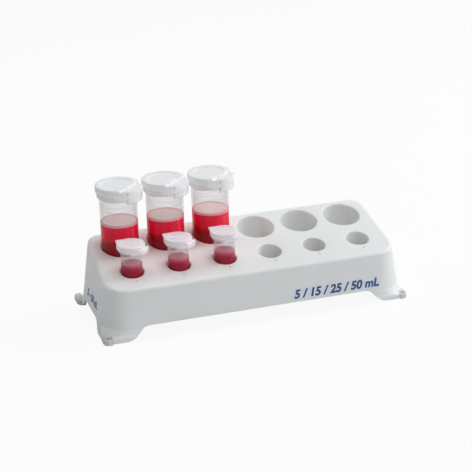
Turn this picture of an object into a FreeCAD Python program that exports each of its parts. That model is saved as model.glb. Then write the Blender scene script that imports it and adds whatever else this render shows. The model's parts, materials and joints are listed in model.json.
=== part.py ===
import FreeCAD, Part
from FreeCAD import Vector
import math
import os

# A bench rack for conical and snap-cap tubes, with six of its twelve wells filled.
# Millimetres, +Z up. The origin is on the bench, under the middle of the rack.

# --- rack: the moulded body -------------------------------------------------
pitch = 37.0              # from one well to the next along X
columns = 6
end_margin = 30.9         # from the last well's axis to the end of the base
base_depth = 91.8         # along Y, where the front and back walls would meet the bench
base_shift = -0.9         # the rack's middle along Y, from the origin
row_small_inset = 29.3    # the front row's axes, from the front of the base
row_large_inset = 28.1    # the back row's axes, from the back of the base
end_draft = 0.137         # how far a wall leans in for each mm of height
front_draft = 0.146
back_draft = 0.137
top_height = 48.9         # height of the sloping top at y = 0
top_slope = 0.229         # rise of the top for each mm towards the back
corner_front = 22.5       # plan radius of the front corners at the bench
corner_back = 17.5
wall = 2.4
top_plate = 3.0
top_edge_round = 2.8
foot_lift = 0.8           # the moulding stands this far off the bench, on its feet

base_half_length = (columns - 1) / 2 * pitch + end_margin
base_front_y = base_shift - base_depth / 2
base_back_y = base_shift + base_depth / 2
row_small_y = base_front_y + row_small_inset    # for 5 and 15 mL tubes
row_large_y = base_back_y - row_large_inset     # for 25 and 50 mL tubes

# --- rack: arches between the legs -------------------------------------------
# rounds: where a leg meets the bench, where the arch meets the leg
arch_front = dict(height=10.6, rounds=(14.0, 8.0))
arch_end = dict(height=9.4, rounds=(5.0, 7.0))
leg_width = 22.4          # of a leg along X, at the bench
leg_depth_front = 22.4    # of a front leg along Y, at the bench
leg_depth_back = 15.0

# --- rack: flared toe round the bottom of each leg ---------------------------
toe_out = 1.3             # how far the toe stands out past the front and back walls
toe_side = 0.25           # and past the end walls
toe_corner = 9.0
toe_height = 4.2
toe_neck_height = 5.8
toe_blend_height = 9.6
toe_neck_share = 0.42     # share of the toe's reach left at its neck

# --- rack: wells --------------------------------------------------------------
bore_large = 15.1         # radius
bore_small = 9.1
floor_large_z = 14.0      # lowest point inside a well
floor_small_z = 7.6
cone_large = 13.0         # height of the tapered floor
cone_small = 9.0
cone_tip_large = 4.0
cone_tip_small = 2.6
sleeve_wall = 1.8
rim_round = 0.8
rim_share = 0.4           # of the web between two rows that one rim's rounding may take

# --- feet ---------------------------------------------------------------------
# out: past the end of the base; proud: past the toe along Y; ledge: length along Y of
# the top that shows; nose: rounding of the outer corner that faces the other row of feet
foot_height = 4.4
foot_corner = 4.0
foot_top_round = 1.2
foot_sole_round = 0.6
foot_front = dict(out=0.3, proud=0.3, width=6.6, length=9.2, ledge=4.8, nose=0.2, dimple=1.5)
foot_back = dict(out=2.8, proud=2.1, width=6.2, length=17.2, ledge=17.2, nose=5.6, dimple=None)
dimple_depth = 1.4

# --- tubes --------------------------------------------------------------------
filled_columns = 3        # tubes stand in this many columns from the left
seat_gap = 0.3            # a tube's tip over the well's floor
tip_play = 0.8            # a tube's tip is this much smaller than the well's
cone_trim = 0.4           # the large tube's cone is this much shorter than the well's
lid_gap = 0.3             # from the tube's rim to its lid
plug_gap = 0.4            # all round the plug
liquid_gap = 0.15         # between liquid and tube wall
hinge_azimuth = -46.0     # degrees; the film hinge faces front right
hinge_gap = 0.4           # from the hinge block to the hinge line
tab_azimuth = hinge_azimuth + 180       # the pointed lifting tab of a small lid
tab_out = 3.0             # how far its point stands out past the lid
tab_plate = 1.3
large = dict(
    bore=bore_large, play=0.3, taper=0.35, wall=1.2,
    cone=cone_large - cone_trim, tip=cone_tip_large - tip_play,
    above_top=45.6, fill_above_top=20.3, collar_out=1.5, collar_height=3.8, collar_neck=1.4,
    lid_out=1.0, lid_height=5.2, lid_plate=3.0, lid_skirt=2.1, lid_rim=4.1, lid_recess=0.5,
    plug_depth=3.6, plug_wall=1.3,
    hinge_out=2.2, hinge_root=0.6, hinge_half_angle=33.0, hinge_drop=6.4, hinge_rise=3.6,
    flat_reach=10.0,
)
small = dict(
    bore=bore_small, play=0.85, taper=0.2, wall=1.0, cone=cone_small, tip=cone_tip_small - tip_play,
    above_top=18.5, fill_above_top=5.5, collar_out=1.45, collar_height=1.7, collar_neck=0.8,
    lid_out=1.2, lid_height=3.9, lid_plate=1.3, lid_skirt=1.3, lid_rim=3.3, lid_recess=0.35,
    plug_depth=2.8, plug_wall=1.0,
    hinge_out=3.0, hinge_root=0.8, hinge_half_angle=27.0, hinge_drop=1.6, hinge_rise=1.3,
    flat_reach=None,
)

# --- tubes: roundings ---------------------------------------------------------
tip_round = 1.0
shoulder_round = 3.0
inner_tip_round = 0.5
inner_shoulder_round = 2.0
neck_round = 0.6
collar_round = 0.4
lid_round = 0.8
skirt_round = 0.5
tab_round = 0.9

bite = 0.3                # how far a piece that is fused on reaches into its carrier
over = 1.0                # how far a cut runs past what it opens
far = 400.0               # well outside the rack
same = 1e-4               # lengths that differ by less are the same
near = 0.4                # lengths that differ by less belong to the same rounded edge

CORNERS = {
    "front_left": (-1, -1), "front_right": (1, -1),
    "back_left": (-1, 1), "back_right": (1, 1),
}


def column_x(index):
    return (index - (columns - 1) / 2) * pitch


def top_z(y):
    return top_height + top_slope * y


def rounded_wire(points, radii):
    """A closed wire through the points, with each corner rounded to its radius."""
    edges = []
    ends = []
    count = len(points)
    for i, (corner, radius) in enumerate(zip(points, radii)):
        before = (points[i - 1] - corner).normalize()
        after = (points[(i + 1) % count] - corner).normalize()
        if radius <= 0:
            ends.append((corner, corner))
            continue
        half = before.getAngle(after) / 2
        reach = radius / math.tan(half)
        start = corner + before * reach
        stop = corner + after * reach
        centre = corner + (before + after).normalize() * (radius / math.sin(half))
        middle = centre + (corner - centre).normalize() * radius
        ends.append((start, stop))
        edges.append((i, Part.Arc(start, middle, stop).toShape()))
    arcs = dict(edges)
    chain = []
    for i in range(count):
        if i in arcs:
            chain.append(arcs[i])
        start = ends[i][1]
        stop = ends[(i + 1) % count][0]
        if (stop - start).Length > 1e-7:
            chain.append(Part.LineSegment(start, stop).toShape())
    return Part.Wire(chain)


def outline(z, grow=0.0, front_corner=None, back_corner=None, grow_x=None):
    """The rack's plan at a height: a rectangle with larger corners at the front."""
    x = base_half_length - end_draft * z + (grow if grow_x is None else grow_x)
    front = base_front_y + front_draft * z - grow
    back = base_back_y - back_draft * z + grow
    r_front = corner_front - front_draft * z + grow if front_corner is None else front_corner
    r_back = corner_back - back_draft * z + grow if back_corner is None else back_corner
    points = [Vector(-x, front, z), Vector(x, front, z), Vector(x, back, z), Vector(-x, back, z)]
    return rounded_wire(points, [r_front, r_front, r_back, r_back])


def loft(*wires):
    return Part.makeLoft(list(wires), True, True)


def below_top(drop):
    """Everything under the sloping top plane, lowered by drop."""
    z_front = top_z(-far) - drop
    z_back = top_z(far) - drop
    side = Part.makePolygon([
        Vector(-far, -far, -far), Vector(-far, far, -far),
        Vector(-far, far, z_back), Vector(-far, -far, z_front), Vector(-far, -far, -far),
    ])
    return Part.Face(side).extrude(Vector(2 * far, 0, 0))


def walls_solid():
    """The drafted outside of the rack, with its top edge rounded."""
    highest = top_z(base_back_y)
    body = loft(outline(foot_lift), outline(highest)).common(below_top(0))
    rim = []
    for edge in body.Edges:
        middle = edge.CenterOfMass
        points = [vertex.Point for vertex in edge.Vertexes]
        if all(abs(p.z - top_z(p.y)) < same for p in points) and abs(middle.z - top_z(middle.y)) < near:
            rim.append(edge)
    return body.makeFillet(top_edge_round, rim)


def toe_solid():
    """The flared toe: nearly square corners below, blended into the wall above."""
    def ring(z, share):
        front = corner_front - front_draft * z
        back = corner_back - back_draft * z
        return outline(
            z, toe_out * share,
            front + (toe_corner - front) * share,
            back + (toe_corner - back) * share,
            toe_side * share,
        )
    low = loft(ring(foot_lift, 1.0), ring(toe_height, 1.0))
    neck = loft(ring(toe_height, 1.0), ring(toe_neck_height, toe_neck_share))
    blend = loft(ring(toe_neck_height, toe_neck_share), ring(toe_blend_height, 0.0))
    return low.fuse([neck, blend])


def cavity_solid():
    """The hollow underside."""
    highest = top_z(base_back_y)
    inside = loft(outline(-over, -wall), outline(highest, -wall))
    return inside.common(below_top(top_plate))


def arch_cut(start, stop, arch, along):
    """A prism through two opposite walls that leaves a leg beyond each end."""
    height = arch["height"]
    leg_round, arch_round = arch["rounds"]
    rise = height - foot_lift
    before = start - leg_round - over
    after = stop + leg_round + over
    low = foot_lift
    points = [
        (before, low), (start, low), (start + rise, height), (stop - rise, height),
        (stop, low), (after, low), (after, -over), (before, -over),
    ]
    radii = [0, leg_round, arch_round, arch_round, leg_round, 0, 0, 0]
    if along == "y":
        corners = [Vector(a, -far / 2, b) for a, b in points]
        sweep = Vector(0, far, 0)
    else:
        corners = [Vector(-far / 2, a, b) for a, b in points]
        sweep = Vector(far, 0, 0)
    return Part.Face(rounded_wire(corners, radii)).extrude(sweep)


def well_shape(x, y, radius, floor_z, cone, tip):
    """What is taken away for one well: a straight bore on a tapered floor."""
    taper = Part.makeCone(tip, radius, cone, Vector(x, y, floor_z))
    bore = Part.makeCylinder(radius, far / 4, Vector(x, y, floor_z + cone))
    return taper.fuse(bore)


def sleeve_shape(x, y, radius, floor_z, cone, tip):
    """The outside of one well, up to just above the top."""
    base = floor_z - sleeve_wall
    taper = Part.makeCone(tip + sleeve_wall, radius + sleeve_wall, cone, Vector(x, y, base))
    sleeve = Part.makeCylinder(radius + sleeve_wall, far / 4, Vector(x, y, base + cone))
    return taper.fuse(sleeve)


def well_list():
    wells = []
    for i in range(columns):
        x = column_x(i)
        wells.append((x, row_small_y, bore_small, floor_small_z, cone_small, cone_tip_small))
        wells.append((x, row_large_y, bore_large, floor_large_z, cone_large, cone_tip_large))
    return wells


def rim_edges(shape):
    """The mouths of the wells, which lie in the sloping top."""
    edges = []
    for edge in shape.Edges:
        box = edge.BoundBox
        on_top = all(abs(v.Point.z - top_z(v.Point.y)) < same for v in edge.Vertexes)
        for x, y, radius, *_ in well_list():
            centred = abs(box.Center.x - x) < near and abs(box.Center.y - y) < near
            if on_top and centred and abs(box.XLength - 2 * radius) < near:
                edges.append(edge)
    return edges


def foot_box(side_x, side_y, height):
    """The upright box of one foot, with its outer corner in x and y."""
    foot = foot_front if side_y < 0 else foot_back
    wall_y = base_front_y if side_y < 0 else base_back_y
    outer_x = side_x * (base_half_length + foot["out"])
    outer_y = wall_y + side_y * (toe_out + foot["proud"])
    inner_x = outer_x - side_x * foot["width"]
    inner_y = outer_y - side_y * foot["length"]
    low = Vector(min(inner_x, outer_x), min(inner_y, outer_y), 0)
    return Part.makeBox(foot["width"], foot["length"], height, low), outer_x, outer_y, foot


def rounded_edges(shape, radius, chosen):
    return shape.makeFillet(radius, [edge for edge in shape.Edges if chosen(edge.BoundBox)])


def foot_shape(side_x, side_y):
    """A rubber foot moulded round the bottom corner of one leg."""
    block, outer_x, outer_y, foot = foot_box(side_x, side_y, foot_height)
    for y, radius in (
        (outer_y, foot_corner), (outer_y - side_y * foot["length"], foot["nose"]),
    ):
        block = rounded_edges(
            block, radius,
            lambda box: abs(box.Center.x - outer_x) < same and abs(box.Center.y - y) < same,
        )
    block = rounded_edges(block, foot_top_round, lambda box: box.ZMin > foot_height - same)
    block = rounded_edges(block, foot_sole_round, lambda box: box.ZMax < same)
    if foot["dimple"]:
        place = Vector(
            outer_x - side_x * foot["width"] / 2, outer_y - side_y * foot["width"] / 2,
            foot_height - dimple_depth,
        )
        block = block.cut(Part.makeCylinder(foot["dimple"], far, place))
    return block.cut(walls_solid())


def toe_window(side_x, side_y):
    """What is taken out of the toe: room for the foot, and for its top to show."""
    room, outer_x, outer_y, foot = foot_box(side_x, side_y, foot_height)
    inner_x = outer_x - side_x * foot["width"]
    inner_y = outer_y - side_y * foot["ledge"]
    low = Vector(min(inner_x, inner_x + side_x * far), min(inner_y, inner_y + side_y * far), 0)
    return room.fuse(Part.makeBox(far, far, toe_neck_height, low))


def rack_shape():
    toe = toe_solid()
    for side_x, side_y in CORNERS.values():
        toe = toe.cut(toe_window(side_x, side_y))
    body = walls_solid().fuse(toe)
    body = body.cut(cavity_solid())
    leg_x = base_half_length - leg_width
    body = body.cut(arch_cut(-leg_x, leg_x, arch_front, "y"))
    leg_y = (base_front_y + leg_depth_front, base_back_y - leg_depth_back)
    body = body.cut(arch_cut(*leg_y, arch_end, "x"))
    sleeves = [sleeve_shape(*well).common(below_top(top_plate / 2)) for well in well_list()]
    body = body.fuse(sleeves)
    for well in well_list():
        body = body.cut(well_shape(*well))
    body = body.removeSplitter()
    web = row_large_y - row_small_y - bore_large - bore_small
    return body.makeFillet(min(rim_round, rim_share * web), rim_edges(body))


def revolve(points, radii):
    """A turned solid from an (r, z) outline that starts and ends on the axis."""
    corners = [Vector(r, 0, z) for r, z in points]
    face = Part.Face(rounded_wire(corners, radii))
    return face.revolve(Vector(0, 0, 0), Vector(0, 0, 1), 360)


def tube_radius(t):
    return t["bore"] - t["play"]


def collar_radius(t):
    return tube_radius(t) + t["collar_out"]


def lid_radius(t):
    return collar_radius(t) + t["lid_out"]


def hinge_reach(t):
    return lid_radius(t) + t["hinge_out"]


def tube_length(t, row_y, floor_z):
    """From a tube's tip to its rim, set by how far it stands out of the rack."""
    return top_z(row_y) + t["above_top"] - floor_z - seat_gap


def around(azimuth, radius, z=0.0):
    """A point at a compass direction from the tube's axis."""
    angle = math.radians(azimuth)
    return Vector(radius * math.cos(angle), radius * math.sin(angle), z)


def hinge_block(t, inner, low, high):
    """A piece of a ring that faces the hinge."""
    outer = hinge_reach(t) - hinge_gap
    ring = Part.makeCylinder(outer, high - low, Vector(0, 0, low))
    ring = ring.cut(Part.makeCylinder(inner, high - low, Vector(0, 0, low)))
    reach = 3 * outer
    directions = [hinge_azimuth + t["hinge_half_angle"] * share for share in (-1, 0, 1)]
    corners = [Vector(0, 0, low)] + [around(azimuth, reach, low) for azimuth in directions]
    slice_face = Part.Face(Part.makePolygon(corners + corners[:1]))
    return ring.common(slice_face.extrude(Vector(0, 0, high - low)))


def tube_shape(t, length):
    """A tube with a tapered tip, a collar at its rim and its half of the hinge."""
    r, w = tube_radius(t), t["wall"]
    shoulder = r - t["taper"]
    collar = collar_radius(t)
    neck_z = length - t["collar_height"]
    outside = revolve(
        [(0, 0), (t["tip"], 0), (shoulder, t["cone"]), (r, neck_z - t["collar_neck"]),
         (collar, neck_z), (collar, length), (0, length)],
        [0, tip_round, shoulder_round, neck_round, collar_round, collar_round, 0],
    )
    block = hinge_block(t, collar - t["hinge_root"], length - t["hinge_drop"], length - lid_gap / 2)
    inside = revolve(
        [(0, w), (t["tip"] - w / 2, w), (shoulder - w, t["cone"]), (r - w, length + over),
         (0, length + over)],
        [0, inner_tip_round, inner_shoulder_round, 0, 0],
    )
    return outside.fuse(block).cut(inside).removeSplitter()


def lid_shape(t, length, pointed):
    """A snap lid: plate, skirt and plug, with its half of the hinge."""
    low = length + lid_gap
    high = low + t["lid_height"]
    outer = lid_radius(t)
    skirt_in = outer - t["lid_skirt"]
    plug_out = tube_radius(t) - t["wall"] - plug_gap
    plug_in = plug_out - t["plug_wall"]
    under = high - t["lid_plate"]
    plug_low = length - t["plug_depth"]
    recess = outer - t["lid_rim"]
    body = revolve(
        [(0, under), (plug_in, under), (plug_in, plug_low), (plug_out, plug_low),
         (plug_out, under), (skirt_in, under), (skirt_in, low), (outer, low),
         (outer, high), (recess, high), (recess, high - t["lid_recess"]),
         (0, high - t["lid_recess"])],
        [0, 0, 0, 0, 0, 0, 0, skirt_round, lid_round, 0, 0, 0],
    )
    if t["flat_reach"]:
        body = body.cut(hinge_flat(t["flat_reach"], low + t["hinge_rise"], high))
    body = body.fuse(hinge_block(t, skirt_in + bite, low, low + t["hinge_rise"]))
    if pointed:
        body = body.fuse(lifting_tab(outer, recess, high - tab_plate, high))
    return body.removeSplitter()


def hinge_flat(reach, low, high):
    """What is taken off a lid's top beside the hinge, beyond a straight edge."""
    wide = 4 * reach
    block = Part.makeBox(wide, 2 * wide, high - low + over, Vector(reach, -wide, low))
    block.rotate(Vector(0, 0, 0), Vector(0, 0, 1), hinge_azimuth)
    return block


def lifting_tab(outer, recess, low, high):
    """The square-cornered tab that a thumb lifts, opposite the hinge."""
    reach = outer + tab_out
    side = reach * math.sin(math.radians(45))
    corners = [
        Vector(0, 0, low), around(tab_azimuth - 45, side, low),
        around(tab_azimuth, reach, low), around(tab_azimuth + 45, side, low),
    ]
    plate = Part.Face(rounded_wire(corners, [0, tab_round, tab_round, tab_round]))
    plate = plate.extrude(Vector(0, 0, high - low))
    return plate.cut(Part.makeCylinder(recess + bite, high, Vector(0, 0, 0)))


def liquid_shape(t, length, fill):
    """The liquid: the inside of the tube up to its level."""
    w = t["wall"] + liquid_gap
    narrow = tube_radius(t) - t["taper"] - w
    share = (fill - t["cone"]) / (length - t["cone"])
    surface = narrow + t["taper"] * share
    return revolve(
        [(0, w), (t["tip"] - w / 2, w), (narrow, t["cone"]), (surface, fill), (0, fill)],
        [0, inner_tip_round, inner_shoulder_round, 0, 0],
    )


def tube_set(t, size, row_y, floor_z, pointed):
    """Each filled tube of a row with its lid and liquid, by node name."""
    nodes = {}
    length = tube_length(t, row_y, floor_z)
    fill = top_z(row_y) + t["fill_above_top"] - floor_z - seat_gap
    for column in range(filled_columns):
        place = Vector(column_x(column), row_y, floor_z + seat_gap)
        pieces = {
            "tube": tube_shape(t, length),
            "lid": lid_shape(t, length, pointed),
            "liquid": liquid_shape(t, length, fill),
        }
        for piece, shape in pieces.items():
            shape.translate(place)
            nodes["%s_%s_%d" % (size, piece, column + 1)] = shape
    return nodes


def hinge_line(t, row_y, column):
    """A point on a tube's film hinge, and the direction about which its lid opens."""
    z = top_z(row_y) + t["above_top"]
    point = around(hinge_azimuth, hinge_reach(t), z) + Vector(column_x(column), row_y, 0)
    return point, around(hinge_azimuth + 90, 1.0)


def main():
    os.makedirs("parts", exist_ok=True)
    nodes = {"rack": rack_shape()}
    for corner, sides in CORNERS.items():
        nodes["foot_" + corner] = foot_shape(*sides)
    nodes.update(tube_set(large, "large", row_large_y, floor_large_z, False))
    nodes.update(tube_set(small, "small", row_small_y, floor_small_z, True))
    for name, shape in nodes.items():
        print(name, "solids", len(shape.Solids), "valid", shape.isValid(), "volume %.1f" % shape.Volume)
        shape.Solids[0].exportStep("parts/%s.step" % name)
    for t, size, row_y in ((large, "large", row_large_y), (small, "small", row_small_y)):
        for column in range(filled_columns):
            point, axis = hinge_line(t, row_y, column)
            print(size, column + 1, "hinge", ["%.3f" % v for v in point], ["%.4f" % v for v in axis])


main()
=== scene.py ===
import json
import math

import bpy
from mathutils import Euler, Matrix, Vector


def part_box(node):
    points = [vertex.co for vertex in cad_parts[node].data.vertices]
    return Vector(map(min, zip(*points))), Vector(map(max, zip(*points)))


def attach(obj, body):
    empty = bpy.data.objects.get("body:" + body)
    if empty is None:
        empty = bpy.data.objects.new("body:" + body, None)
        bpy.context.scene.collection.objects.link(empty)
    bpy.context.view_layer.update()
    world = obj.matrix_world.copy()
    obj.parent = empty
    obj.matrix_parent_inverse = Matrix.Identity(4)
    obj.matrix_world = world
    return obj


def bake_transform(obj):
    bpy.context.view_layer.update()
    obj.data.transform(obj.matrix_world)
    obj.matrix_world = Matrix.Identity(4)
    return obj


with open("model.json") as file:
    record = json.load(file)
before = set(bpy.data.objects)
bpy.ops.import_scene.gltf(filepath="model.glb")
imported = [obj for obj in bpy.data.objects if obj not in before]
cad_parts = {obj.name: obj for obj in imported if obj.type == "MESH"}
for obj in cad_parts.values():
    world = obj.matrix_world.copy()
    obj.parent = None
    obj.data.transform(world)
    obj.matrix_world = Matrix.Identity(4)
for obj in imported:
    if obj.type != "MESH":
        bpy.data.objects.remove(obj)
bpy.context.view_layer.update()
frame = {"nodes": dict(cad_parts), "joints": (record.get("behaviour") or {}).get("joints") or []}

nodes = frame["nodes"]


# --- Rack ---------------------------------------------------------------------
# The rack is one injection moulding in white polypropylene. Its mould was spark
# eroded, which leaves a fine satin grain on every outer and inner face.

polypropylene_ior = 1.49
well_pitch = 0.037           # from one well to the next along X
well_radii = {"large": 0.0151, "small": 0.0091}
wall_margin = 0.0001         # how far outside its radius a well's wall may be found
level_enough = 0.9           # upward part of the normal of a face in a well's floor


def new_material(name):
    material = bpy.data.materials.new(name)
    material.use_nodes = True
    return material, material.node_tree.nodes, material.node_tree.links


def dress(piece, material):
    """Gives every material slot of a piece this one material."""
    if not piece.data.materials:
        piece.data.materials.append(material)
    for index in range(len(piece.data.materials)):
        piece.data.materials[index] = material


def noise_on_object(tree_nodes, links, size):
    """A noise whose features are about size metres across, fixed to the piece."""
    place = tree_nodes.new("ShaderNodeTexCoord")
    noise = tree_nodes.new("ShaderNodeTexNoise")
    noise.inputs["Scale"].default_value = 1 / size
    noise.inputs["Detail"].default_value = 2.0
    links.new(place.outputs["Object"], noise.inputs["Vector"])
    return noise.outputs["Fac"]


def colour_between(tree_nodes, links, factor, low, high):
    ramp = tree_nodes.new("ShaderNodeValToRGB")
    for element, position, colour in zip(ramp.color_ramp.elements, (0.3, 0.7), (low, high)):
        element.position = position
        element.color = (*colour, 1)
    links.new(factor, ramp.inputs["Fac"])
    return ramp.outputs["Color"]


def value_between(tree_nodes, links, factor, low, high):
    spread = tree_nodes.new("ShaderNodeMapRange")
    spread.inputs["From Min"].default_value = 0.3
    spread.inputs["From Max"].default_value = 0.7
    spread.inputs["To Min"].default_value = low
    spread.inputs["To Max"].default_value = high
    links.new(factor, spread.inputs["Value"])
    return spread.outputs["Result"]


def grain(tree_nodes, links, size, depth):
    """A fine moulded grain: size and depth in metres."""
    bump = tree_nodes.new("ShaderNodeBump")
    bump.inputs["Strength"].default_value = 1.0
    bump.inputs["Distance"].default_value = depth
    links.new(noise_on_object(tree_nodes, links, size), bump.inputs["Height"])
    links.new(bump.outputs["Normal"], tree_nodes["Principled BSDF"].inputs["Normal"])


def clouded(name, cloud_size, low, high):
    """A material whose colour drifts between low and high, in clouds of one size."""
    material, tree_nodes, links = new_material(name)
    shader = tree_nodes["Principled BSDF"]
    cloud = noise_on_object(tree_nodes, links, cloud_size)
    shade = colour_between(tree_nodes, links, cloud, low, high)
    links.new(shade, shader.inputs["Base Color"])
    return material, tree_nodes, links, shader, cloud


def let_light_in(shader, weight, radius, scale):
    """Light that spreads below the surface of a white plastic."""
    shader.inputs["Subsurface Weight"].default_value = weight
    shader.inputs["Subsurface Radius"].default_value = radius
    shader.inputs["Subsurface Scale"].default_value = scale


def satin_white(name, low, high):
    """White polypropylene whose colour lies between low and high."""
    material, tree_nodes, links, shader, _ = clouded(name, 0.05, low, high)
    gloss_patches = noise_on_object(tree_nodes, links, 0.012)
    satin = value_between(tree_nodes, links, gloss_patches, 0.40, 0.50)
    links.new(satin, shader.inputs["Roughness"])
    shader.inputs["IOR"].default_value = polypropylene_ior
    let_light_in(shader, 0.5, (1.0, 0.95, 0.85), 0.004)
    grain(tree_nodes, links, 0.0009, 0.00002)
    return material


rack = nodes["rack"]
rack_white = satin_white("white_polypropylene", (0.912, 0.917, 0.892), (0.932, 0.937, 0.912))
dress(rack, rack_white)

# The walls and floors of the wells get a lighter, warmer copy of the rack's white: painted light,
# standing in for the light that reaches the thin walls from both sides.
well_white_painted_light = satin_white("white_polypropylene_well_painted_light", (0.975, 0.965, 0.925), (0.985, 0.975, 0.935))
rack.data.materials.append(well_white_painted_light)
well_slot = len(rack.data.materials) - 1
for kind, well_radius in well_radii.items():
    low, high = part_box("%s_tube_1" % kind)
    first_x, row_y = (low[0] + high[0]) / 2, (low[1] + high[1]) / 2
    for face in rack.data.polygons:
        column = round((face.center.x - first_x) / well_pitch)
        out = Vector((face.center.x - first_x - column * well_pitch, face.center.y - row_y))
        facing_in = out.x * face.normal.x + out.y * face.normal.y < 0
        if out.length < well_radius + wall_margin and (facing_in or face.normal.z > level_enough):
            face.material_index = well_slot


# --- Feet ---------------------------------------------------------------------
# A foot of soft beige elastomer is pressed over the bottom edge of each leg. The
# elastomer has a dull, slightly dusty skin.

foot_beige, foot_nodes, foot_links, foot_shader, dust = clouded(
    "beige_elastomer", 0.004, (0.68, 0.67, 0.61), (0.75, 0.74, 0.68)
)
foot_dullness = value_between(foot_nodes, foot_links, dust, 0.55, 0.7)
foot_links.new(foot_dullness, foot_shader.inputs["Roughness"])
grain(foot_nodes, foot_links, 0.0005, 0.00002)
for end in ("front", "back"):
    for hand in ("left", "right"):
        dress(nodes["foot_%s_%s" % (end, hand)], foot_beige)


# --- Printed and moulded lettering ----------------------------------------------
# The capacities are pad printed in dark blue ink on the front wall and on the left
# end. A small position number is moulded in front of each well of the front row, in the
# rack's white plastic; its grey colour is painted shade, standing in for the shading of its
# raised edges.

print_slant = 0.22
far_out = 0.2                # a start well outside the rack
above_rack = 0.09
ink_thickness = 0.00005
number_line_y = -0.0308
number_size = 0.0030
number_height = 0.00012      # how far a moulded number stands out
well_count = 6
merge_distance = 0.000002    # corners closer than this are one corner


def close_up_mesh():
    """Merges doubles and turns the normals of the active piece outwards."""
    bpy.ops.object.mode_set(mode="EDIT")
    bpy.ops.mesh.select_all(action="SELECT")
    bpy.ops.mesh.remove_doubles(threshold=merge_distance)
    bpy.ops.mesh.dissolve_degenerate(threshold=merge_distance)
    bpy.ops.mesh.normals_make_consistent(inside=False)
    bpy.ops.object.mode_set(mode="OBJECT")


def lay_on_rack(name, text, size, start, direction, along, slant, bold, thick):
    """Letters laid on the rack where a line from start, in direction, meets it."""
    _, point, normal, _ = rack.ray_cast(Vector(start), Vector(direction))
    right = (Vector(along) - normal * normal.dot(Vector(along))).normalized()
    up = normal.cross(right)
    bpy.ops.object.select_all(action="DESELECT")
    bpy.ops.object.text_add()
    piece = bpy.context.object
    piece.name = name
    piece.data.body = text
    piece.data.size = size
    piece.data.shear = slant
    piece.data.offset = bold
    piece.data.extrude = thick
    piece.data.align_x = "CENTER"
    piece.data.align_y = "CENTER"
    bpy.ops.object.convert(target="MESH")
    turn = Matrix((right, up, normal)).transposed().to_4x4()
    piece.matrix_world = Matrix.Translation(point) @ turn
    bpy.ops.object.transform_apply(location=True, rotation=True, scale=True)
    close_up_mesh()
    return piece


ink_blue, _, _, ink_shader, _ = clouded(
    "blue_ink", 0.0015, (0.008, 0.075, 0.25), (0.012, 0.098, 0.31)
)
ink_shader.inputs["Roughness"].default_value = 0.45
front_print = lay_on_rack(
    "front_capacity_print", "5 / 15 / 25 / 50 mL", 0.0094, (0.0641, -far_out, 0.0163),
    (0, 1, 0), (1, 0, 0), print_slant, 0.00036, ink_thickness,
)
left_print = lay_on_rack(
    "left_capacity_print", "5 – 50 mL", 0.0079, (-far_out, 0.001, 0.0185),
    (1, 0, 0), (0, -1, 0), print_slant, 0.00034, ink_thickness,
)
for piece in (front_print, left_print):
    dress(piece, ink_blue)
    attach(piece, "rack")

# Painted shade: the moulded numbers are white plastic, coloured grey here in place of their
# shading.
number_painted_shade, _, _, number_shader, _ = clouded(
    "moulded_number_painted_shade", 0.002, (0.52, 0.52, 0.49), (0.58, 0.58, 0.55)
)
number_shader.inputs["Roughness"].default_value = 0.5
for place in range(well_count):
    number_x = (place - (well_count - 1) / 2) * well_pitch
    number = lay_on_rack(
        "position_number_%d" % (place + 1), str(place + 1), number_size,
        (number_x, number_line_y, above_rack), (0, 0, -1), (1, 0, 0), 0.0, 0.00005, number_height,
    )
    dress(number, number_painted_shade)
    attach(number, "rack")


# --- Tubes --------------------------------------------------------------------
# Each tube is injection moulded in natural polypropylene, milky and slightly
# see-through, and it looks denser where the line of sight grazes the wall. Beads and
# volume ticks are moulded on the wall of the large ones.

places = (1, 2, 3)
colour_edge = 0.0002         # height over which one colour of a wall turns into the next
# The pale line is a painted highlight, standing in for the glow of the meniscus.
level_highlight_rise = 0.0008          # how far the pale line stands over the level of the liquid
collar_white = (0.93, 0.925, 0.92)
outer_top = 0.0148           # radius of the wall of a large tube under its collar
bead_drops = (0.0100, 0.0134)
bead_proud = 0.00010
bead_root = 0.0002           # how deep a bead starts inside the wall
tick_count = 14
tick_step = 0.0022
first_tick = 0.0078          # above the level of the liquid
tick_azimuth = -54
tick_half_angles = (4.2, 2.6)    # long ticks and short ticks
long_tick_every = 5
tick_half_height = 0.00016
tick_proud = 0.00012
tick_root = 0.0003
ring_steps = 64
smooth_angle = math.radians(40)


def object_height(tree_nodes, links):
    place = tree_nodes.new("ShaderNodeTexCoord")
    split = tree_nodes.new("ShaderNodeSeparateXYZ")
    links.new(place.outputs["Object"], split.inputs["Vector"])
    return split.outputs["Z"]


def colour_by_height(tree_nodes, links, stops):
    """A colour that changes with height: stops are (height, colour), lowest first."""
    lowest, highest = stops[0][0], stops[-1][0]
    share = tree_nodes.new("ShaderNodeMapRange")
    share.inputs["From Min"].default_value = lowest
    share.inputs["From Max"].default_value = highest
    links.new(object_height(tree_nodes, links), share.inputs["Value"])
    ramp = tree_nodes.new("ShaderNodeValToRGB")
    elements = ramp.color_ramp.elements
    while len(elements) < len(stops):
        elements.new(0.5)
    for element, (height, colour) in zip(elements, stops):
        element.position = (height - lowest) / (highest - lowest)
        element.color = (*colour, 1)
    links.new(share.outputs["Result"], ramp.inputs["Fac"])
    return ramp.outputs["Color"]


def pass_lamps(tree_nodes, links, colour):
    """Lets lamp light through a see-through plastic or a liquid, tinted by a colour."""
    lamp_path = tree_nodes.new("ShaderNodeLightPath")
    let_through = tree_nodes.new("ShaderNodeBsdfTransparent")
    let_through.inputs["Color"].default_value = (*colour, 1)
    choice = tree_nodes.new("ShaderNodeMixShader")
    links.new(lamp_path.outputs["Is Shadow Ray"], choice.inputs["Fac"])
    links.new(tree_nodes["Principled BSDF"].outputs["BSDF"], choice.inputs[1])
    links.new(let_through.outputs["BSDF"], choice.inputs[2])
    links.new(choice.outputs["Shader"], tree_nodes["Material Output"].inputs["Surface"])


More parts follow.
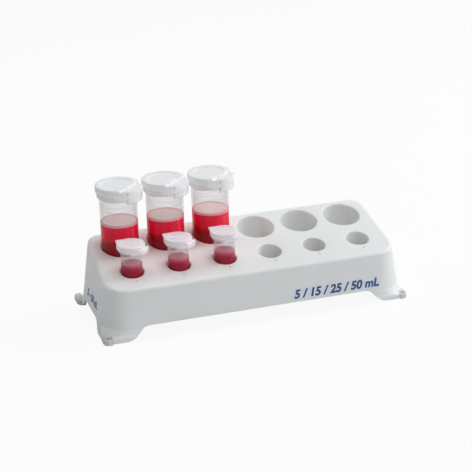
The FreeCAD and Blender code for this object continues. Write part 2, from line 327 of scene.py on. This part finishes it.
def milky(name, colour, face_on, grazing, dullness, lamp_tint):
    """A milky clear plastic, denser where it is seen edge on."""
    dark = tuple(0.96 * part for part in colour)
    material, tree_nodes, links, shader, haze = clouded(name, 0.012, dark, colour)
    rim = tree_nodes.new("ShaderNodeLayerWeight")
    rim.inputs["Blend"].default_value = 0.35
    density = tree_nodes.new("ShaderNodeMapRange")
    density.inputs["To Min"].default_value = face_on
    density.inputs["To Max"].default_value = grazing
    links.new(rim.outputs["Facing"], density.inputs["Value"])
    links.new(density.outputs["Result"], shader.inputs["Alpha"])
    polish = value_between(tree_nodes, links, haze, dullness, dullness + 0.08)
    links.new(polish, shader.inputs["Roughness"])
    shader.inputs["IOR"].default_value = polypropylene_ior
    pass_lamps(tree_nodes, links, lamp_tint)
    return material, tree_nodes, links, density.outputs["Result"]


def filled_tube(name, clear, dullness, level, rim, collar, stops, collar_density):
    """The wall of a tube: it takes the liquid's colour up to the level, with painted light and
    shade in it: darker low down, brighter near the level, and a pale painted highlight line just
    over the level.
    """
    material, tree_nodes, links, density = milky(
        name, clear, 0.13, 0.44, dullness, (0.93, 0.88, 0.87)
    )
    shader = tree_nodes["Principled BSDF"]
    shader.inputs["Specular IOR Level"].default_value = 0.3
    highlight_top = level + level_highlight_rise
    # Painted light and shade: the stops run from dark low down to bright near the level, and the
    # pale band just over the level is a painted highlight.
    shades = colour_by_height(tree_nodes, links, stops + [
        (highlight_top, stops[-1][1]), (highlight_top + colour_edge, clear),
        (rim - collar - colour_edge, clear), (rim - collar, collar_white),
    ])
    links.new(shades, shader.inputs["Base Color"])
    wet, dry = (0.86,) * 3, (0,) * 3
    wet_top = level + 0.0007
    solid = colour_by_height(tree_nodes, links, [
        (level - 0.03, wet), (wet_top, wet), (wet_top + colour_edge, dry),
        (rim - collar - colour_edge, dry), (rim - collar, (collar_density,) * 3),
    ])
    thickest = tree_nodes.new("ShaderNodeMath")
    thickest.operation = "MAXIMUM"
    links.new(solid, thickest.inputs[0])
    links.new(density, thickest.inputs[1])
    links.new(thickest.outputs["Value"], shader.inputs["Alpha"])
    return material


large_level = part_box("large_liquid_1")[1][2]
small_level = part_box("small_liquid_1")[1][2]
hinge_points = {joint["child"]: joint["pos_m"] for joint in frame["joints"]}
large_rim = hinge_points["large_lid_1"][2]
small_rim = hinge_points["small_lid_1"][2]
# Painted shade low on the wall, painted light near the level, and a pale painted highlight at the
# level itself.
large_tube_clear = filled_tube(
    "milky_clear_polypropylene_painted_light", (0.79, 0.77, 0.75), 0.16, large_level, large_rim, 0.0052, [
        (large_level - 0.030, (0.30, 0.003, 0.008)),
        (large_level - 0.0150, (0.42, 0.004, 0.011)),
        (large_level - 0.0100, (0.97, 0.012, 0.045)),
        (large_level - 0.0006, (1.00, 0.022, 0.075)),
        (large_level - 0.0004, (1.00, 0.52, 0.50)),
    ], 0.90,
)
small_tube_clear = filled_tube(
    "thin_clear_polypropylene_painted_light", (0.82, 0.74, 0.76), 0.14, small_level, small_rim, 0.0025, [
        (small_level - 0.020, (0.33, 0.008, 0.028)),
        (small_level - 0.0035, (0.42, 0.010, 0.040)),
        (small_level - 0.0010, (0.58, 0.030, 0.085)),
        (small_level - 0.0002, (0.62, 0.10, 0.17)),
    ], 0.62,
)
for place in places:
    dress(nodes["large_tube_%d" % place], large_tube_clear)
    dress(nodes["small_tube_%d" % place], small_tube_clear)


def tube_axis(kind, place):
    """Where a tube stands, and the height of the liquid in it."""
    low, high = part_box("%s_liquid_%d" % (kind, place))
    return (low[0] + high[0]) / 2, (low[1] + high[1]) / 2, high[2]


def swept_strip(name, corners, axis_xy, from_azimuth, to_azimuth, steps):
    """A closed strip: a profile of (radius, height) corners spun about an upright axis."""
    bpy.ops.object.select_all(action="DESELECT")
    start = math.radians(from_azimuth)
    bpy.ops.mesh.primitive_plane_add(size=1.0, location=(0, 0, 0))
    strip = bpy.context.object
    strip.name = name
    for vertex, (radius, height) in zip((0, 1, 3, 2), corners):
        strip.data.vertices[vertex].co = (
            axis_xy[0] + radius * math.cos(start), axis_xy[1] + radius * math.sin(start), height
        )
    bpy.ops.object.mode_set(mode="EDIT")
    bpy.ops.mesh.select_all(action="SELECT")
    if to_azimuth - from_azimuth == 360:
        bpy.ops.mesh.delete(type="ONLY_FACE")    # a ring has no end faces
        bpy.ops.mesh.select_all(action="SELECT")
    else:
        bpy.ops.mesh.duplicate()
    bpy.ops.mesh.spin(
        steps=steps, angle=math.radians(to_azimuth - from_azimuth),
        center=(axis_xy[0], axis_xy[1], 0), axis=(0, 0, 1),
    )
    bpy.ops.mesh.select_all(action="SELECT")
    bpy.ops.mesh.remove_doubles(threshold=merge_distance)
    bpy.ops.mesh.normals_make_consistent(inside=False)
    bpy.ops.object.mode_set(mode="OBJECT")
    return strip


def full_ring(name, corners, axis_xy):
    """A closed ring of the same kind, all the way round."""
    ring = swept_strip(name, corners, axis_xy, 0, 360, ring_steps)
    bpy.ops.object.shade_smooth_by_angle(angle=smooth_angle)
    return ring


def joined(pieces, name):
    """One mesh out of several closed ones."""
    bpy.ops.object.select_all(action="DESELECT")
    for piece in pieces:
        piece.select_set(True)
    bpy.context.view_layer.objects.active = pieces[0]
    bpy.ops.object.join()
    whole = bpy.context.object
    whole.name = name
    return whole


bead_clear = milky(
    "moulded_bead_polypropylene", (0.86, 0.855, 0.845), 0.10, 0.20, 0.3, (0.95, 0.95, 0.95)
)[0]
tick_clear = milky(
    "moulded_tick_polypropylene", (0.88, 0.80, 0.80), 0.26, 0.40, 0.3, (0.95, 0.95, 0.95)
)[0]
for place in places:
    x, y, level = tube_axis("large", place)
    beads = []
    for drop in bead_drops:
        z = large_rim - drop
        beads.append(full_ring(
            "large_tube_bead", [
                (outer_top - bead_root, z - 0.00025), (outer_top + bead_proud, z - 0.00015),
                (outer_top + bead_proud, z + 0.00015), (outer_top - bead_root, z + 0.00025),
            ], (x, y),
        ))
    ticks = []
    for count in range(tick_count):
        z = level + first_tick - tick_step * count
        half_angle = tick_half_angles[0 if count % long_tick_every == 0 else 1]
        tick_bottom, tick_top = z - tick_half_height, z + tick_half_height
        ticks.append(swept_strip(
            "large_tube_tick", [
                (outer_top - tick_root, tick_bottom), (outer_top + tick_proud, tick_bottom),
                (outer_top + tick_proud, tick_top), (outer_top - tick_root, tick_top),
            ], (x, y), tick_azimuth - half_angle, tick_azimuth + half_angle, 4,
        ))
    for marks, material in (
        (joined(beads, "large_tube_beads_%d" % place), bead_clear),
        (joined(ticks, "large_tube_ticks_%d" % place), tick_clear),
    ):
        dress(marks, material)
        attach(marks, "rack")


# --- Liquid ---------------------------------------------------------------------
# A clear red liquid stands in each tube up to a level mark. It climbs the wall a little.
# Its colour is painted brighter just under the level and darker lower down, which is painted
# light and shade, and the surface sheet with its climbing edge is painted paler as a painted
# reflection.

liquid_ior = 1.33
skin_lift = 0.00005          # the surface sheet lies this far over the liquid
skin_thickness = 0.00005
edge_corners = 72


def red_liquid(name, painted_shade_red, painted_light_red, top, fade):
    """A red liquid painted brighter for a depth of fade under its surface and darker below it:
    painted light and shade.
    """
    material, tree_nodes, links = new_material(name)
    shader = tree_nodes["Principled BSDF"]
    depth = tree_nodes.new("ShaderNodeMapRange")
    depth.interpolation_type = "SMOOTHSTEP"
    depth.inputs["From Min"].default_value = top - fade * 1.35
    depth.inputs["From Max"].default_value = top - fade
    links.new(object_height(tree_nodes, links), depth.inputs["Value"])
    ramp = tree_nodes.new("ShaderNodeValToRGB")
    ramp.color_ramp.elements[0].color = (*painted_shade_red, 1)
    ramp.color_ramp.elements[1].color = (*painted_light_red, 1)
    links.new(depth.outputs["Result"], ramp.inputs["Fac"])
    links.new(ramp.outputs["Color"], shader.inputs["Base Color"])
    shader.inputs["Roughness"].default_value = 0.06
    shader.inputs["IOR"].default_value = liquid_ior
    shader.inputs["Transmission Weight"].default_value = 0.25
    pass_lamps(tree_nodes, links, (0.80, 0.30, 0.27))
    return material


def meniscus(name, axis_xy, level, radius, climb):
    """The surface of the liquid: a thin sheet that curls up where it meets the wall."""
    bpy.ops.object.select_all(action="DESELECT")
    bpy.ops.mesh.primitive_circle_add(
        vertices=edge_corners, radius=radius, fill_type="NGON", location=(*axis_xy, level)
    )
    skin = bpy.context.object
    skin.name = name
    bpy.ops.object.mode_set(mode="EDIT")
    bpy.ops.mesh.select_all(action="SELECT")
    for width_share, drop_share in ((0.25, 0.6), (0.5, 0.3), (0.7, 0.1)):
        bpy.ops.mesh.inset(thickness=climb * width_share, depth=0)
        bpy.ops.transform.translate(value=(0, 0, -climb * drop_share))
    bpy.ops.mesh.select_all(action="SELECT")
    bpy.ops.transform.translate(value=(0, 0, climb))
    bpy.ops.object.mode_set(mode="OBJECT")
    bpy.ops.object.transform_apply(location=True, rotation=True, scale=True)
    wall = skin.modifiers.new("thickness", "SOLIDIFY")
    wall.thickness = skin_thickness
    wall.offset = 1.0
    bpy.ops.object.modifier_apply(modifier="thickness")
    bpy.ops.object.shade_smooth_by_angle(angle=smooth_angle)
    return skin


def painted_reflection_skin(name, low, high):
    """The surface of a liquid, coloured paler and pinker than the red below it: a painted
    reflection.
    """
    material, _, _, shader, _ = clouded(name, 0.006, low, high)
    shader.inputs["Roughness"].default_value = 0.12
    shader.inputs["IOR"].default_value = liquid_ior
    return material


# Painted shade low in each liquid, and painted light just under its level.
large_red = red_liquid(
    "red_liquid_painted_light", (0.36, 0.004, 0.010), (0.86, 0.012, 0.04), large_level, 0.0105
)
small_red = red_liquid(
    "small_red_liquid_painted_light", (0.40, 0.008, 0.03), (0.62, 0.03, 0.08), small_level, 0.0020
)
# Painted reflection: the surfaces are coloured paler than the liquid under them.
large_skin = painted_reflection_skin("large_liquid_surface", (0.95, 0.68, 0.69), (1.0, 0.76, 0.76))
small_skin = painted_reflection_skin("small_liquid_surface", (0.44, 0.085, 0.12), (0.50, 0.12, 0.16))
for kind, red, skin, radius, climb in (
    ("large", large_red, large_skin, 0.01340, 0.0006),
    ("small", small_red, small_skin, 0.00710, 0.0004),
):
    for place in places:
        dress(nodes["%s_liquid_%d" % (kind, place)], red)
        x, y, level = tube_axis(kind, place)
        surface = meniscus(
            "%s_liquid_surface_%d" % (kind, place), (x, y), level + skin_lift, radius, climb
        )
        dress(surface, skin)
        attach(surface, "rack")


# --- Lids ---------------------------------------------------------------------
# Each snap lid is moulded in one piece with its tube, in the same plastic but thicker,
# so it is nearly white. A thin film joins the two halves of the hinge; on the real tube it
# bends as the lid opens, but here it is one fixed strip that follows neither the lid nor the
# tube. A shallow bead runs round the top of each large lid.

hinge_azimuth = -46
strap_inner, strap_outer = 0.00038, 0.00012    # how far inside the hinge line it lies
strap_steps = 12
bead_radii = (0.0118, 0.0130, 0.0127, 0.0121)
bead_sunk, bead_crest = 0.0008, 0.00022        # below the highest point of the lid

large_lid_white = milky(
    "frosted_lid_polypropylene", (0.985, 0.98, 0.98), 0.95, 1.0, 0.44, (0.74, 0.73, 0.73)
)[0]
small_lid_white = milky(
    "thin_lid_polypropylene", (0.99, 0.90, 0.925), 0.84, 0.96, 0.26, (0.78, 0.74, 0.75)
)[0]
for lid_white in (large_lid_white, small_lid_white):
    lid_shader = lid_white.node_tree.nodes["Principled BSDF"]
    let_light_in(lid_shader, 0.3, (1.0, 0.95, 0.95), 0.006)
for place in places:
    dress(nodes["large_lid_%d" % place], large_lid_white)
    dress(nodes["small_lid_%d" % place], small_lid_white)

for place in places:
    x, y, _ = tube_axis("large", place)
    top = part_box("large_lid_%d" % place)[1][2]
    heights = (top - bead_sunk, top - bead_sunk, top - bead_crest, top - bead_crest)
    bead = full_ring("large_lid_bead_%d" % place, list(zip(bead_radii, heights)), (x, y))
    dress(bead, large_lid_white)
    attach(bead, "large_lid_%d" % place)

for kind, half_angle, half, material in (
    ("large", 22, 0.0013, large_lid_white), ("small", 20, 0.0009, small_lid_white)
):
    for place in places:
        x, y, _ = tube_axis(kind, place)
        lid = "%s_lid_%d" % (kind, place)
        hinge = hinge_points[lid]
        z = hinge[2]
        reach = math.hypot(hinge[0] - x, hinge[1] - y)
        inner, outer = reach - strap_inner, reach - strap_outer
        strap = swept_strip(
            "%s_hinge_strap_%d" % (kind, place),
            [(inner, z - half), (outer, z - half), (outer, z + half), (inner, z + half)],
            (x, y), hinge_azimuth - half_angle, hinge_azimuth + half_angle, strap_steps,
        )
        dress(strap, material)
        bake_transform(strap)


# --- Floor, light and camera ------------------------------------------------------
# A white sweep under soft light: a softbox at the right, one overhead, a fill at the
# front right and one in front, and a weaker one behind on the left.

floor_size = 6.0
bpy.ops.object.select_all(action="DESELECT")
bpy.ops.mesh.primitive_plane_add(size=floor_size, location=(0, 0, 0))
floor = bpy.context.object
floor.name = "floor"
floor_white, floor_nodes, floor_links = new_material("floor_white")
floor_shader = floor_nodes["Principled BSDF"]
floor_shader.inputs["Base Color"].default_value = (0.85, 0.85, 0.85, 1)
floor_shader.inputs["Roughness"].default_value = 0.9
floor_glow = floor_nodes.new("ShaderNodeEmission")
floor_seen = floor_nodes.new("ShaderNodeLightPath")
floor_share = floor_nodes.new("ShaderNodeMath")
floor_share.operation = "MULTIPLY"
floor_share.inputs[1].default_value = 0.92     # the rest keeps the shadow
floor_blend = floor_nodes.new("ShaderNodeMixShader")
floor_links.new(floor_seen.outputs["Is Camera Ray"], floor_share.inputs[0])
floor_links.new(floor_share.outputs["Value"], floor_blend.inputs["Fac"])
floor_links.new(floor_shader.outputs["BSDF"], floor_blend.inputs[1])
floor_links.new(floor_glow.outputs["Emission"], floor_blend.inputs[2])
floor_links.new(floor_blend.outputs["Shader"], floor_nodes["Material Output"].inputs["Surface"])
dress(floor, floor_white)

world = bpy.data.worlds.new("studio")
bpy.context.scene.world = world
world.use_nodes = True
world_nodes = world.node_tree.nodes
world_links = world.node_tree.links
ambient = world_nodes["Background"]
ambient.inputs["Color"].default_value = (0.94, 0.97, 1.0, 1)
ambient.inputs["Strength"].default_value = 0.08
backdrop = world_nodes.new("ShaderNodeBackground")
backdrop.inputs["Color"].default_value = (1, 1, 1, 1)
backdrop.inputs["Strength"].default_value = 1.0
seen = world_nodes.new("ShaderNodeLightPath")
backdrop_seen = seen.outputs["Is Camera Ray"]
for ray in ("Is Glossy Ray", "Is Transmission Ray"):
    either = world_nodes.new("ShaderNodeMath")
    either.operation = "MAXIMUM"
    world_links.new(backdrop_seen, either.inputs[0])
    world_links.new(seen.outputs[ray], either.inputs[1])
    backdrop_seen = either.outputs["Value"]
world_blend = world_nodes.new("ShaderNodeMixShader")
world_links.new(backdrop_seen, world_blend.inputs["Fac"])
world_links.new(ambient.outputs["Background"], world_blend.inputs[1])
world_links.new(backdrop.outputs["Background"], world_blend.inputs[2])
world_links.new(world_blend.outputs["Shader"], world_nodes["World Output"].inputs["Surface"])

light_colour = (0.95, 0.975, 1.0)
light_aim = Vector((0, 0, 0.05))
for name, place, width, power in (
    ("key_light", (1.3, 0.2, 1.1), 0.6, 12),
    ("top_light", (0.3, 0.2, 1.7), 1.0, 8),
    ("right_fill", (1.5, -1.3, 0.8), 1.0, 7),
    ("front_fill", (0.2, -1.7, 0.9), 1.0, 6.5),
    ("left_rim", (-1.3, 0.7, 0.9), 0.7, 5),
):
    lamp = bpy.data.lights.new(name, "AREA")
    lamp.shape = "SQUARE"
    lamp.size = width
    lamp.energy = power
    lamp.color = light_colour
    holder = bpy.data.objects.new(name, lamp)
    bpy.context.scene.collection.objects.link(holder)
    holder.location = place
    holder.rotation_euler = (light_aim - Vector(place)).to_track_quat("-Z", "Y").to_euler()

camera_data = bpy.data.cameras.new("camera")
camera_data.lens = 110.1
camera_data.sensor_width = 36
camera = bpy.data.objects.new("camera", camera_data)
bpy.context.scene.collection.objects.link(camera)
heading, tilt, roll = math.radians(-17.77), math.radians(90 - 21.65), math.radians(-1.40)
camera.matrix_world = (
    Matrix.Translation((-0.3254, -1.0053, 0.4729))
    @ Euler((tilt, 0, heading)).to_matrix().to_4x4()
    @ Matrix.Rotation(roll, 4, "Z")
)
bpy.context.scene.camera = camera
bpy.context.scene.view_settings.view_transform = "Standard"
